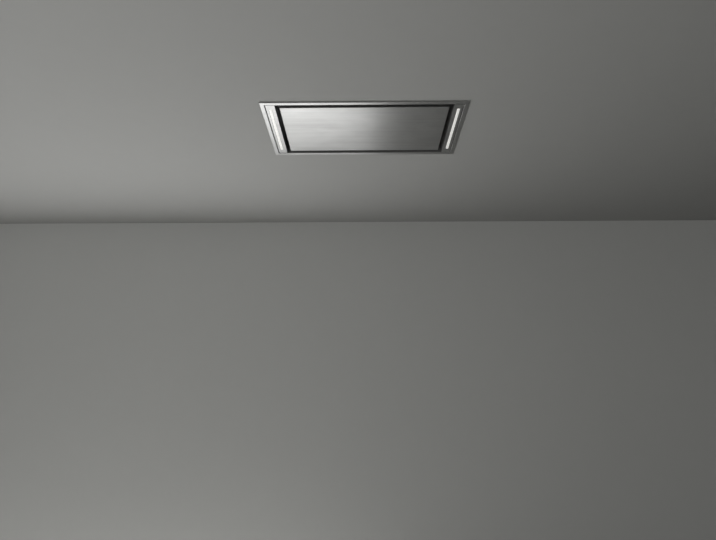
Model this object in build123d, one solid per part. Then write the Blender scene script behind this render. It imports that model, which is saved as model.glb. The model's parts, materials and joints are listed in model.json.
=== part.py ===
from build123d import *
import math
import os

# A ceiling range hood in millimetres. The origin is the centre of the ceiling opening, on the
# underside of the ceiling; +Z is up, and the hinged side of the suction panel is at +Y.

# Visible trim
trim_length = 900
trim_width = 500
rim_width = 18.5
rim_drop = 6  # the rim's face below the ceiling
ceiling_gap = 0.5  # from the rim's outer edge to the ceiling, with the seal inside
plate_recess = 1.5  # the plates and the panel above the rim's face
plate_zone = 43.5  # from the rim to the suction gap
plate_gap = 4  # shadow gap between the rim and a plate
seal_thickness = 1.5
seal_width = 9
light_length = 384
light_width = 13
light_inset = 23  # from the suction gap to the light's middle
side_gap = 20  # suction gap at the short sides
long_gap = 26  # suction gap at the long sides
skirt_height = 24  # how far the trim frame laps up the housing

# Sheet metal, and how closely parts nest
gauge = 1.0
bend = 1.2  # inside radius of a fold
crisp = 0.6  # inside radius of a fold that shows
fit = 0.2  # gap between nested sheets
flange = 10
overcut = 1  # how far a cut runs past the metal it cuts

# Lights
lens_thickness = 1.5
lens_leg = 5
channel_height = 12
channel_wall = 1.2
channel_foot = 3
board_thickness = 1
board_side = 1  # between the strip and the lens's edge
board_end = 2
chip_pitch = 16
chip_length = 3.5
chip_width = 2.8
chip_height = 0.8

# Housing and hanging points for M8 rods
housing_height = 310
bead_width = 24
bead_height = 4
bead_x = 290
rod_hole_radius = 4.5
rod_spacing_x = 720
rod_spacing_y = 380
bracket_height = 40
bracket_width = 34
bracket_foot = 26
bracket_thickness = 2.5

# Inlet and filters
plenum_height = 62  # from the ceiling's underside to the seat of the filters
ledge_width = 45.5
bar_width = 24
lip_height = 8
filter_depth = 9
filter_lap = 8  # how far a filter reaches past its opening
filter_spacing = 8
filter_sheet = 0.8
filter_face = 14  # the face of a filter's frame
filter_corner = 8
rail_lip = 9
rail_foot = 8
rail_below = 3  # how far the front rail reaches below the latch

# Filter latches
latch_travel = 8
latch_width = 24
latch_thickness = 2
latch_drop = 7  # the tongue's lower face below the filter
latch_engagement = 5  # how far the tongue reaches past the rail
latch_slip = 0.5
case_length = 70
case_width = 36
case_height = 11
case_wall = 2
case_corner = 5
case_inset = 4  # from the filter's front edge
stem_inset = 4  # from the tongue's side to the stem's
tab_length = 34
tab_gap = 4
tab_curl = 7  # how far the tab's front edge turns down
tab_reach = 14  # how far the tab runs behind its stem
tongue_chamfer = 3

# Suction panel, its hinge and its catches
panel_depth = 22
return_width = 12
liner_inset = 14
liner_height = 9
liner_sheet = 0.8
pin_radius = 3
pin_slip = 0.05
pin_tightness = 0.02
hinge_inset = 8  # from the panel's rear edge to the pin
hinge_rise = 14  # from the panel's face to the pin
hinge_offset = 250
hanger_thickness = 3
hanger_radius = 6
hanger_foot = 9
hanger_plate = 2
ear_thickness = 2
ear_gap = 1
lug_base = 1.5
pin_head = 1.5
catch_offset = 200
strike_thickness = 1.5
catch_foot = 9
catch_sheet = 1.5
catch_length = 36
magnet_length = 44
magnet_width = 10
magnet_height = 12
magnet_corner = 1.5
magnet_air = 0.3

# Blower
blower_above = 11  # from the cheeks to the housing's top
blower_below = 7  # from the cheeks to the filters' mouths
impeller_width = 120
blade_depth = 13
blade_count = 36
blade_thickness = 0.9
blade_bow = 1.2
blade_lean = 5
blade_inset = 0.5  # from a blade's tip to the rings' edges
disc_thickness = 2
disc_rim = 10  # width of the disc's turned rim, which the blades stand on
hub_radius = 14
hub_length = 22
shaft_radius = 4
shaft_slip = 0.05
scroll_gap = 5  # from the impeller to the first radius of the spiral
scroll_step = 10  # growth of the spiral with each quarter turn
scroll_margin = 6  # how far the cheeks reach past the spiral
tongue_angle = 50
tongue_radius = 4
side_gap_inside = 5  # from the impeller to the cheek
inlet_inset = 17  # from the impeller's radius to the inlet's
bell_radius = 8
bell_flange = 6
bell_sheet = 1.2
motor_air = 14  # between the motor and the inlet
motor_length = 86
motor_gap = 6  # from the impeller's disc to the motor
motor_corner = 6
motor_belt = 2  # how far the motor's middle band stands out
boss_radius = 10
boss_length = 4
shaft_tail = 9
shaft_nose = 3  # how far the shaft shows past the hub
spider_reach = 9  # from the impeller's radius to the spider's posts
spider_inset = 9  # from the motor's radius to the spider's plate
spider_arm = 12
spider_sheet = 2.5
isolator_radius = 7
isolator_height = 7
isolator_waist = 5.2
shaft_y = 25
mouth_reach = 95  # from the shaft to the mouth of the scroll
capacitor_radius = 18
capacitor_height = 68
capacitor_x = 150
capacitor_side = 81.3  # from the housing's front to the capacitor's axis
capacitor_corner = 3
bracket_sheet = 1.5
bracket_lap = 22
bracket_reach = 25
bracket_length = 120

# Duct outlet
duct_radius = 74.5
duct_length = 60
duct_wall = 1.5
duct_drop = 84  # from the housing's top to the duct's axis
collar_flange = 7
adapter_wall = 1.5
adapter_neck = 20
adapter_corner = 6
damper_pin_radius = 2
damper_gap = 1.5  # from a flap's edge to the duct
damper_thickness = 1.2
damper_split = 4  # from the pin's axis to a flap's straight edge
damper_station = 12  # from the housing to the pin
knuckle_length = 12
knuckle_wall = 1.2
knuckle_low = -42  # the lowest knuckle of the right flap, from the duct's middle
knuckle_step = 64  # to the flap's second knuckle

# Electrics
junction_y = -60
junction_length = 110
junction_width = 74
junction_height = 42
box_wall = 2
gland_bore = 5
gland_radius = 9
gland_nut = 13
gland_reach = 24
gland_hexagon = 6
gland_cap = 10
gland_ring = 4
terminal_count = 4
terminal_pitch = 11
terminal_width = 20
terminal_height = 18
terminal_shift = 15  # from the junction box's middle
terminal_well = 3
terminal_depth = 4
control_end = 26.3  # from the housing's end to the control box
control_side = 56.3  # from the housing's front to the control box
control_length = 150
control_width = 110
control_height = 52
driver_end = 56.3
driver_side = 59.3
driver_length = 150
driver_width = 44
driver_height = 26
driver_corner = 3
driver_rib = 7

# Screws between the tray, the housing and the trim frame
screw_radius = 2
screw_spacing = 200
screw_z = 12
head_radius = 3.6
head_height = 2.2

# Worked out from the sizes above
opening_x = trim_length / 2 - rim_width
opening_y = trim_width / 2 - rim_width
rim_face = -rim_drop
face_level = rim_face + plate_recess
shell_x = opening_x - fit
shell_y = opening_y - fit
gap_edge_x = opening_x - plate_zone
light_x = gap_edge_x + light_inset
panel_x = gap_edge_x - side_gap
panel_y = opening_y - long_gap
panel_floor = face_level + gauge
panel_top = face_level + panel_depth
shell_base = panel_floor + seal_thickness  # the housing's lower edge, on the plates' seals
tray_x = gap_edge_x + gauge + fit
tray_y = shell_y - gauge - fit
mouth_x = tray_x - ledge_width
mouth_y = tray_y - ledge_width
filter_x = mouth_x + filter_lap
filter_y = mouth_y + filter_lap
filter_base = plenum_height - fit - filter_depth
filter_length = filter_x - filter_spacing / 2
filter_centre = (filter_x + filter_spacing / 2) / 2
rail_y = filter_y + gauge + fit
latch_level = filter_base - latch_drop
case_front = case_inset - filter_y
case_base = filter_base - case_height
hinge_y = panel_y - hinge_inset
hinge_z = face_level + hinge_rise
hinges = [-hinge_offset, hinge_offset]
catches = [-catch_offset, catch_offset]
catch_y = return_width / 2 - panel_y
magnet_base = panel_top + strike_thickness + magnet_air
cheek_x = impeller_width / 2 + side_gap_inside
blower_floor = plenum_height + lip_height + blower_below
blower_height = housing_height - blower_above - blower_floor
scroll_radius = (blower_height - 5 * scroll_step) / 2 - scroll_margin
scroll_top = scroll_radius + 3.5 * scroll_step
shaft_z = housing_height - blower_above - scroll_margin - scroll_top
impeller_radius = scroll_radius - scroll_gap
inlet_radius = impeller_radius - inlet_inset
motor_radius = inlet_radius - motor_air
spider_radius = impeller_radius + spider_reach
spider_plate = motor_radius - spider_inset
duct_z = housing_height - duct_drop
blade_inner = impeller_radius - blade_depth
spider_x = -motor_gap - motor_length - disc_thickness / 2
duct_end = shell_y + duct_wall + duct_length
damper_y = shell_y + damper_station
control_x = control_end + control_length / 2 - shell_x
control_y = control_side + control_width / 2 - shell_y
junction_x = control_x + (control_length + junction_length) / 2
terminal_x = junction_x + terminal_shift
capacitor_y = capacitor_side - shell_y
driver_x = shell_x - driver_end - driver_length / 2
driver_y = driver_side + driver_width / 2 - shell_y


def block(low, high):
    # a block from its lowest to its highest corner
    size = [top - bottom for bottom, top in zip(low, high)]
    centre = [(top + bottom) / 2 for bottom, top in zip(low, high)]
    return Pos(*centre) * Box(*size)


def along_x(radius, start, end, y, z):
    # a round bar along X
    return Pos((start + end) / 2, y, z) * Rot(0, 90, 0) * Cylinder(radius, abs(end - start))


def along_y(radius, x, start, end, z):
    return Pos(x, (start + end) / 2, z) * Rot(90, 0, 0) * Cylinder(radius, abs(end - start))


def along_z(radius, x, y, start, end):
    return Pos(x, y, (start + end) / 2) * Cylinder(radius, abs(end - start))


def step_left(points, distance):
    # a line of points moved to its left, with mitred corners
    headings = [(after - before).normalized() for before, after in zip(points, points[1:])]
    lefts = [Vector(-heading.Y, heading.X) for heading in headings]
    moved = [points[0] + lefts[0] * distance]
    for point, before, after in zip(points[1:-1], lefts, lefts[1:]):
        moved.append(point + (before + after) * (distance / (1 + before.dot(after))))
    moved.append(points[-1] + lefts[-1] * distance)
    return moved


def folded(corners, thickness=gauge, radius=bend):
    # the section of a sheet folded along a line, with its thickness to the left of the line
    points = [Vector(*corner) for corner in corners]
    moved = step_left(points, thickness)
    near_radii = []
    far_radii = []
    for before, corner, after in zip(points, points[1:], points[2:]):
        turns_left = (corner - before).cross(after - corner).Z > 0
        near_radii.append(radius + thickness if turns_left else radius)
        far_radii.append(radius if turns_left else radius + thickness)
    near = FilletPolyline(*points, radius=near_radii)
    far = FilletPolyline(*moved, radius=far_radii)
    ends = [Line(points[0], moved[0]), Line(points[-1], moved[-1])]
    return make_face([*near.edges(), *far.edges(), *ends])


def mitred_ring(half_x, half_y, section):
    # a section, drawn inwards and upwards from the outer edge, carried round a rectangle
    front = [(0, -half_y), (half_x, -half_y), (half_x, half_y)]
    path = Polyline(*front, (-half_x, half_y), (-half_x, -half_y), close=True)
    plane = Plane(origin=(0, -half_y, 0), x_dir=(0, 1, 0), z_dir=(1, 0, 0))
    return sweep(plane * section, path=path, transition=Transition.RIGHT)


def across(section, centre_x, length, y=0, z=0):
    # a section drawn in Y and Z, extended along X
    plane = Plane(origin=(centre_x - length / 2, y, z), x_dir=(0, 1, 0), z_dir=(1, 0, 0))
    return extrude(plane * section, amount=length)


def front_to_back(section, length, x=0, y=0, z=0):
    # a section drawn in X and Z, extended along Y
    plane = Plane(origin=(x, y + length / 2, z), x_dir=(1, 0, 0), z_dir=(0, -1, 0))
    return extrude(plane * section, amount=length)


def mirrored(body, side):
    # a piece drawn for the right side, or its mirror image for the left
    return body if side > 0 else mirror(body, about=Plane.YZ)


def group(solids):
    return Compound(children=[solid.solid() for solid in solids])


def screw_places():
    return [(step * screw_spacing, side) for step in (-1.5, -0.5, 0.5, 1.5) for side in (-1, 1)]


def with_screw_holes(body):
    near = tray_y - 4 * gauge
    far = opening_y + 2 * gauge
    for x, side in screw_places():
        body -= along_y(screw_radius + fit, x, side * near, side * far, screw_z)
    return body


# Lower trim


def trim_frame():
    line = [(0, -ceiling_gap), (0, rim_face), (rim_width, rim_face), (rim_width, skirt_height)]
    ring = mitred_ring(trim_length / 2, trim_width / 2, folded(line, radius=crisp))
    return with_screw_holes(ring)


def ceiling_seal():
    # soft foam between the rim and the ceiling
    margin = 2 * (gauge + crisp)
    outer = Rectangle(trim_length - margin, trim_width - margin)
    inner = Rectangle(2 * opening_x + margin, 2 * opening_y + margin)
    return Pos(0, 0, rim_face + gauge) * extrude(outer - inner, amount=rim_drop - gauge)


def side_plate(side):
    # a flat plate with a slot for the light, set off from the rim by a narrow shadow gap
    far_x = opening_x - plate_gap
    far_y = opening_y - plate_gap
    body = block((gap_edge_x, -far_y, face_level), (far_x, far_y, panel_floor))
    slot = Box(light_width + 2 * fit, light_length + 2 * fit, 4 * gauge)
    return mirrored(body - Pos(light_x, 0, face_level) * slot, side)


def plate_seals():
    # black foam strips between the plates and the housing, which also close the shadow gap
    near_x = gap_edge_x + fit
    strip = block((near_x, -shell_y, panel_floor), (shell_x, shell_y, shell_base))
    low = (near_x + seal_width, seal_width - shell_y, panel_floor - overcut)
    strip -= block(low, (shell_x - seal_width, shell_y - seal_width, shell_base + overcut))
    return group([strip, mirrored(strip, -1)])


def light_lens(side):
    # an opal cover, flush with the plate, with a clip leg along each edge
    half = light_width / 2
    line = [(-half, lens_leg), (-half, 0), (half, 0), (half, lens_leg)]
    section = folded(line, thickness=lens_thickness, radius=crisp)
    return front_to_back(section, light_length, x=side * light_x, z=face_level)


def light_channel(side):
    # an extruded channel, open below, with a foot along each edge that rests on the plate
    half = light_width / 2 + fit
    wide = half + channel_wall
    foot = half + channel_foot
    roof = channel_height - channel_wall
    outline = [(-foot, 0), (-half, 0), (-half, roof), (half, roof), (half, 0), (foot, 0)]
    outline += [(foot, channel_wall), (wide, channel_wall), (wide, channel_height)]
    outline += [(-wide, channel_height), (-wide, channel_wall), (-foot, channel_wall)]
    section = make_face(Polyline(*outline, close=True))
    return front_to_back(section, light_length + 2 * fit, x=side * light_x, z=panel_floor)


def light_board(side):
    # a circuit strip under the channel's roof with a row of light-emitting chips
    top = panel_floor + channel_height - channel_wall
    strip = Box(light_width - 2 * board_side, light_length - 2 * board_end, board_thickness)
    body = Pos(side * light_x, 0, top - board_thickness / 2) * strip
    count = int(light_length // chip_pitch) - 1
    for index in range(count):
        y = (index - (count - 1) / 2) * chip_pitch
        chip = Box(chip_length, chip_width, chip_height)
        body += Pos(side * light_x, y, top - board_thickness - chip_height / 2) * chip
    return body


def frame_screws():
    # heads inside the suction gap, shanks out through the tray, the housing and the skirt
    screws = []
    for x, side in screw_places():
        seat = tray_y - gauge
        head = along_y(head_radius, x, side * (seat - head_height), side * seat, screw_z)
        shank = along_y(screw_radius, x, side * seat, side * (opening_y + gauge), screw_z)
        screws.append(head + shank)
    return group(screws)


# Housing


def bead(x):
    # a long rounded rib standing on the top sheet
    half = bead_width / 2
    arc = ThreePointArc((-half, 0), (0, bead_height), (half, 0))
    section = make_face([arc, Line((half, 0), (-half, 0))])
    return front_to_back(section, rod_spacing_y, x=x, z=housing_height)


def housing_shell():
    # one sheet folded over the front, the top and the rear
    rear = [(shell_y, shell_base), (shell_y, housing_height)]
    front = [(-shell_y, housing_height), (-shell_y, shell_base)]
    body = across(folded(rear + front), 0, 2 * shell_x)
    body += bead(-bead_x) + bead(bead_x)
    body = with_screw_holes(body)
    body -= along_y(duct_radius + fit, 0, shell_y - 2 * gauge, shell_y + gauge, duct_z)
    return body


def end_panel(side):
    # a pan that closes one end of the shell, with its flanges folded inwards
    half = shell_y - gauge - fit
    top = housing_height - gauge - fit
    edge = shell_x - flange
    inside = half - gauge
    body = block((edge, -half, shell_base), (shell_x, half, top))
    body = fillet(body.edges().filter_by(Axis.X).group_by(Axis.Z)[-1], bend)
    body -= block((edge, -inside, shell_base + gauge), (shell_x - gauge, inside, top - gauge))
    return mirrored(body, side)


def hanging_brackets():
    # four Z-shaped brackets on the top, each with a hole for a threaded rod
    foot = bracket_foot
    line = [(-foot, 0), (0, 0), (0, bracket_height), (foot, bracket_height)]
    section = folded(line, thickness=bracket_thickness, radius=bracket_thickness)
    bracket = front_to_back(section, bracket_width, x=-foot / 2)
    bracket -= along_z(rod_hole_radius, 0, 0, bracket_height / 2, 2 * bracket_height)
    brackets = []
    for side in (-1, 1):
        for end in (-1, 1):
            place = Pos(side * rod_spacing_x / 2, end * rod_spacing_y / 2, housing_height)
            brackets.append(place * mirrored(bracket, side))
    return group(brackets)


# Inlet and filters


def inlet_tray():
    # a deck with a ledge that the filters seat against and a bar between them, welded on four
    # walls round the suction gap
    height = plenum_height
    line = [(0, height), (ledge_width, height), (ledge_width, height + lip_height)]
    deck = mitred_ring(tray_x, tray_y, folded(line))
    half = bar_width / 2
    hat = [(-half, lip_height), (-half, 0), (half, 0), (half, lip_height)]
    deck += front_to_back(folded(hat), 2 * (mouth_y + gauge), z=height)
    reach = gap_edge_x - fit
    inside = tray_y - gauge
    front = block((-tray_x, -tray_y, shell_base), (tray_x, -inside, height))
    front += block((-reach, -tray_y, rim_face + gauge), (reach, -inside, shell_base))
    front = with_screw_holes(front)
    end = block((tray_x - gauge, -inside, shell_base), (tray_x, inside, height))
    return group([deck, front, mirror(front, about=Plane.XZ), end, mirrored(end, -1)])


def filter_rail_rear():
    # a folded strip under the ledge whose lip carries the rear edge of both filters
    low = filter_base - fit - gauge
    high = plenum_height - gauge
    line = [(-rail_lip, low), (0, low), (0, high), (rail_foot, high)]
    body = across(folded(line, radius=crisp), 0, 2 * filter_x, y=rail_y)
    for hinge in hinges:
        half = hanger_foot + gauge
        low_corner = (hinge - half, rail_y + fit, high - gauge)
        body -= block(low_corner, (hinge + half, rail_y + rail_foot + gauge, plenum_height + gauge))
    return body


def filter_rail_front():
    # an angle under the ledge with a slot for the tongue of each latch
    low = latch_level - rail_below
    line = [(0, low), (0, plenum_height), (-rail_foot, plenum_height)]
    body = across(folded(line, radius=crisp), 0, 2 * filter_x, y=-rail_y)
    slot = Box(latch_width + 2 * latch_slip, 6 * gauge, latch_thickness + 2 * latch_slip)
    for side in (-1, 1):
        body -= Pos(side * filter_centre, -rail_y, latch_level + latch_thickness / 2) * slot
    return body


def filter_outline(inset):
    # the filter's rounded outline, moved inwards
    radius = max(filter_corner - inset, filter_corner / 2)
    return RectangleRounded(filter_length - 2 * inset, 2 * (filter_y - inset), radius)


def filter_frame(side):
    # a C-section frame bent round the mesh, with rounded corners
    outer = filter_outline(0)
    pocket = filter_outline(filter_sheet)
    body = extrude(outer - filter_outline(filter_face), amount=filter_depth)
    body -= Pos(0, 0, filter_sheet) * extrude(pocket, amount=filter_depth - 2 * filter_sheet)
    return Pos(side * filter_centre, 0, filter_base) * body


def filter_mesh(side):
    # the layered mesh, held all round inside the frame
    margin = filter_sheet + fit
    pad = extrude(filter_outline(margin), amount=filter_depth - 2 * margin)
    return Pos(side * filter_centre, 0, filter_base + margin) * pad


def latch_case(side):
    # a shallow cover under the filter's front edge, open forwards, with a thumb opening below
    half = case_length / 2
    body = block((-half, case_front, case_base), (half, case_front + case_width, filter_base))
    body = fillet(body.edges().filter_by(Axis.Z), case_corner)
    half = latch_width / 2 + latch_slip
    low = (-half, case_front - overcut, latch_level - latch_slip)
    back = case_front + case_width - case_wall
    body -= block(low, (half, back, latch_level + latch_thickness + latch_slip))
    stem = stem_place()
    thumb = stem_half() + latch_slip
    low = (-thumb, stem - latch_slip, case_base - overcut)
    body -= block(low, (thumb, stem + latch_thickness + latch_travel + latch_slip, latch_level))
    return Pos(side * filter_centre, 0, 0) * body


def stem_place():
    # the front of the stem that joins the tongue to its finger tab
    return case_front + case_width / 3


def stem_half():
    return latch_width / 2 - stem_inset


def filter_latch(side):
    # a sliding tongue with a curved finger tab that hangs below its cover
    half = latch_width / 2
    front = -rail_y - gauge - latch_engagement
    back = case_front + case_width - case_wall - latch_travel - latch_slip
    body = block((-half, front, latch_level), (half, back, latch_level + latch_thickness))
    body = chamfer(body.edges().filter_by(Axis.Z).group_by(Axis.Y)[0], tongue_chamfer)
    stem = stem_place()
    tab_top = case_base - tab_gap
    low = (-stem_half(), stem, tab_top - latch_thickness)
    body += block(low, (stem_half(), stem + latch_thickness, latch_level))
    line = [(-latch_thickness - tab_curl, -tab_curl), (-latch_thickness, 0), (tab_reach, 0)]
    strip = folded(line, thickness=latch_thickness, radius=latch_thickness)
    body += across(strip, 0, tab_length, y=stem, z=tab_top - latch_thickness)
    return Pos(side * filter_centre, 0, 0) * body


# Suction panel


def suction_panel():
    # a folded pan with a return flange, notched at the rear for the hinge hangers
    pan = Pos(0, 0, face_level) * extrude(Rectangle(2 * panel_x, 2 * panel_y), amount=panel_depth)
    pan = fillet(pan.edges().filter_by(Axis.Z), bend)
    pan = fillet(pan.edges().group_by(Axis.Z)[0], bend)
    x = panel_x - gauge
    y = panel_y - gauge
    pan -= block((-x, -y, panel_floor), (x, y, panel_top - gauge))
    x = panel_x - return_width
    y = panel_y - return_width
    pan -= block((-x, -y, panel_floor + gauge), (x, y, panel_top + gauge))
    half = hanger_thickness / 2 + ear_gap + ear_thickness
    floor = hinge_z - hanger_radius - ear_gap
    for hinge in hinges:
        low = (hinge - half, panel_y - return_width - gauge, floor)
        pan -= block(low, (hinge + half, panel_y + gauge, panel_top + gauge))
    return pan


def panel_liner():
    # an inner sheet that stiffens the panel, with its edges folded down on to it
    low = (liner_inset - panel_x, liner_inset - panel_y, panel_floor)
    high = (panel_x - liner_inset, hinge_y - liner_inset, panel_floor + liner_height)
    inner_low = (low[0] + liner_sheet, low[1] + liner_sheet, panel_floor)
    inner_high = [value - liner_sheet for value in high]
    return block(low, high) - block(inner_low, inner_high)


def hinge_lugs():
    # clevises on the panel's inner face, one at each hinge
    lugs = []
    inner = hanger_thickness / 2 + ear_gap
    outer = inner + ear_thickness
    front = hinge_y - 2 * hanger_radius
    rear = hinge_y + hanger_radius
    rise = hinge_z - panel_floor
    half = hanger_radius
    flank = Polyline((-2 * half, -rise), (half, -rise), (half, 0), (-half, 0), close=True)
    ear = Circle(half) + make_face(flank)
    for hinge in hinges:
        lug = block((hinge - outer, front, panel_floor), (hinge + outer, rear, panel_floor + lug_base))
        for side in (-1, 1):
            middle = hinge + side * (inner + ear_thickness / 2)
            lug += across(ear, middle, ear_thickness, y=hinge_y, z=hinge_z)
        lug -= along_x(pin_radius + pin_tightness, hinge - 2 * outer, hinge + 2 * outer, hinge_y, hinge_z)
        lugs.append(lug)
    return group(lugs)


def hinge_pins():
    # a headed pin through each clevis
    pins = []
    reach = hanger_thickness / 2 + ear_gap + ear_thickness
    far = reach + pin_head
    for hinge in hinges:
        pin = along_x(pin_radius, hinge - far, hinge + far, hinge_y, hinge_z)
        pin += along_x(pin_radius + pin_head, hinge + reach, hinge + far, hinge_y, hinge_z)
        pins.append(pin)
    return group(pins)


def hinge_hangers():
    # sheet arms that hang from the ledge into the panel's notches and carry its pins
    hangers = []
    rise = plenum_height - hinge_z
    half = hanger_radius
    foot = hanger_foot
    bottom = [(-half, 0), (half, 0), (half, 2 * half)]
    arm = make_face(Polyline(*bottom, (3 * half, rise), (0, rise), (-half, 4 * half), close=True))
    outline = arm + Circle(half)
    for hinge in hinges:
        hanger = across(outline, hinge, hanger_thickness, y=hinge_y, z=hinge_z)
        low = (hinge - foot, hinge_y, plenum_height - hanger_plate)
        hanger += block(low, (hinge + foot, hinge_y + 3 * half, plenum_height))
        hanger -= along_x(pin_radius + pin_slip, hinge - foot, hinge + foot, hinge_y, hinge_z)
        hangers.append(hanger)
    return group(hangers)


def strike_plates():
    # steel plates on the panel's front flange, under the magnets
    plates = []
    for x in catches:
        plate = Box(magnet_length, return_width - gauge, strike_thickness)
        plates.append(Pos(x, catch_y, panel_top + strike_thickness / 2) * plate)
    return group(plates)


def catch_magnets():
    magnets = []
    for x in catches:
        magnet = Pos(x, catch_y, magnet_base + magnet_height / 2)
        magnet *= Box(magnet_length, magnet_width, magnet_height)
        magnets.append(fillet(magnet.edges().filter_by(Axis.Z), magnet_corner))
    return group(magnets)


def catch_brackets():
    # Z-shaped strips from the ledge down to the tops of the magnets
    base = magnet_base + magnet_height
    high = plenum_height - catch_sheet
    line = [(-catch_foot, high), (0, high), (0, base), (magnet_width, base)]
    section = folded(line, thickness=catch_sheet, radius=gauge)
    y = catch_y - magnet_width / 2
    return group([across(section, x, catch_length, y=y) for x in catches])


# Blower


def spiral_arcs(shift):
    # four quarter arcs of growing radius, moved outwards by a shift, from the tongue to the roof
    half = scroll_step / 2
    start = scroll_radius + shift
    return [
        CenterArc((half, -half), start, tongue_angle, -tongue_angle),
        CenterArc((-half, -half), start + scroll_step, 0, -90),
        CenterArc((-half, half), start + 2 * scroll_step, -90, -90),
        CenterArc((half, half), start + 3 * scroll_step, 180, -90),
    ]


def spiral(shift):
    # the air side of the scroll, moved outwards: floor of the mouth, tongue, arcs and roof
    half = scroll_step / 2
    turn = math.radians(tongue_angle)
    reach = scroll_radius + tongue_radius
    nose = (half + reach * math.cos(turn), reach * math.sin(turn) - half)
    tongue = CenterArc(nose, tongue_radius - shift, tongue_angle, 180)
    heading = Vector(math.sin(turn), -math.cos(turn))
    floor_length = (mouth_reach - (tongue @ 0).X) / heading.X
    floor = Line((tongue @ 0) + heading * floor_length, tongue @ 0)
    arcs = spiral_arcs(shift)
    roof = Line(arcs[-1] @ 1, (mouth_reach, (arcs[-1] @ 1).Y))
    return [floor, tongue, *arcs, roof]


def scroll_wrap():
    # the strip between the cheeks, from the floor of the mouth round to its roof
    inner = spiral(0)
    outer = spiral(gauge)
    ends = [Line(inner[0] @ 0, outer[0] @ 0), Line(inner[-1] @ 1, outer[-1] @ 1)]
    section = make_face([*inner, *outer, *ends])
    return across(section, 0, 2 * cheek_x, y=shaft_y, z=shaft_z)


def scroll_cheek(side):
    # a flat cheek that follows the spiral, with a round inlet
    arcs = spiral_arcs(scroll_margin)[1:]
    high = Vector(mouth_reach, (arcs[-1] @ 1).Y)
    low = Vector(mouth_reach, (arcs[0] @ 0).Y)
    rim = [Line(arcs[-1] @ 1, high), Line(high, low), Line(low, arcs[0] @ 0)]
    outline = make_face([*arcs, *rim]) - Circle(inlet_radius + bell_radius + gauge)
    return across(outline, side * (cheek_x + gauge / 2), gauge, y=shaft_y, z=shaft_z)


def inlet_ring(side):
    # a turned bell mouth that reaches into the impeller, with a flat flange on the cheek
    sheet = bell_sheet
    seat = inlet_radius + bell_radius
    middle = (sheet - bell_radius, seat)
    front = CenterArc(middle, bell_radius, -90, 90)
    back = CenterArc(middle, bell_radius - sheet, -90, 90)
    outer = seat + bell_flange
    rim = Polyline((front @ 1), (sheet, outer), (0, outer), (back @ 1))
    profile = make_face([front, back, *rim.edges(), Line(front @ 0, back @ 0)])
    ring = Pos(cheek_x + gauge, shaft_y, shaft_z) * revolve(profile, Axis.X, 360)
    return mirrored(ring, side)


def impeller_disc():
    # the middle disc of the drum, with a turned rim and a hub on the shaft
    disc = across(Circle(blade_inner), 0, disc_thickness, y=shaft_y, z=shaft_z)
    rim = across(Circle(blade_inner) - Circle(blade_inner - gauge), 0, disc_rim, y=shaft_y, z=shaft_z)
    hub = along_x(hub_radius, -disc_thickness / 2, hub_length, shaft_y, shaft_z)
    bore = along_x(shaft_radius + pin_tightness, -hub_length, hub_length, shaft_y, shaft_z)
    return disc + [rim, hub] - bore


def impeller_blades():
    # forward-curved blades on the disc's rim, held between a ring at each end, and open at both ends
    root = blade_inner + pin_tightness
    tip = impeller_radius - blade_inset
    middle = ((root + tip) / 2, blade_bow)
    thick = blade_thickness
    front = ThreePointArc((root, 0), middle, (tip, blade_lean))
    back = ThreePointArc((root, thick), (middle[0], middle[1] + thick), (tip, blade_lean + thick))
    ends = [Line(front @ 0, back @ 0), Line(front @ 1, back @ 1)]
    blade = make_face([front, back, *ends])
    turn = 360 / blade_count
    edge = impeller_width / 2 - gauge
    length = impeller_width - 4 * gauge - 2 * pin_tightness
    blades = [Rot(0, 0, turn * index) * blade for index in range(blade_count)]
    ring = Circle(impeller_radius) - Circle(blade_inner)
    parts = [across(section, 0, length, y=shaft_y, z=shaft_z) for section in blades]
    parts += [across(ring, end * edge, 2 * gauge, y=shaft_y, z=shaft_z) for end in (-1, 1)]
    return group(parts)


def motor_shaft():
    # the shaft runs through the motor and carries the impeller's hub
    return along_x(shaft_radius, spider_x - shaft_tail, hub_length + shaft_nose, shaft_y, shaft_z)


def motor():
    # a round motor inside the left inlet, with a bearing boss at each end
    end = spider_x + motor_length
    body = along_x(motor_radius, spider_x, end, shaft_y, shaft_z)
    body = fillet(body.edges().filter_by(GeomType.CIRCLE), motor_corner)
    third = motor_length / 3
    belt = along_x(motor_radius + motor_belt, spider_x + third, end - third, shaft_y, shaft_z)
    boss = along_x(boss_radius, spider_x - boss_length, end + boss_length, shaft_y, shaft_z)
    bore = along_x(shaft_radius + shaft_slip, spider_x - shaft_tail, end + shaft_tail, shaft_y, shaft_z)
    return body + belt + boss - bore


def arm_angles():
    return [90, 210, 330]


def motor_spider():
    # a ring on the motor's back with three arms, each with a post towards the cheek
    plate = Circle(spider_plate)
    for angle in arm_angles():
        arm = Pos(spider_radius / 2, 0) * SlotCenterToCenter(spider_radius, spider_arm)
        plate += Rot(0, 0, angle) * arm
    plate -= Circle(boss_radius + spider_sheet)
    body = across(plate, spider_x - spider_sheet / 2, spider_sheet, y=shaft_y, z=shaft_z)
    for y, z in isolator_centres():
        body += along_x(spider_arm / 2, spider_x - spider_sheet, -post_end(), y, z)
    return body


def post_end():
    # how far out the spider's posts stop, past the cheek and the rubber
    return cheek_x + gauge + isolator_height


def isolator_centres():
    shaft = Vector(shaft_y, shaft_z)
    spots = [shaft + Vector(spider_radius, 0).rotate(Axis.Z, angle) for angle in arm_angles()]
    return [(spot.X, spot.Y) for spot in spots]


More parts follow.
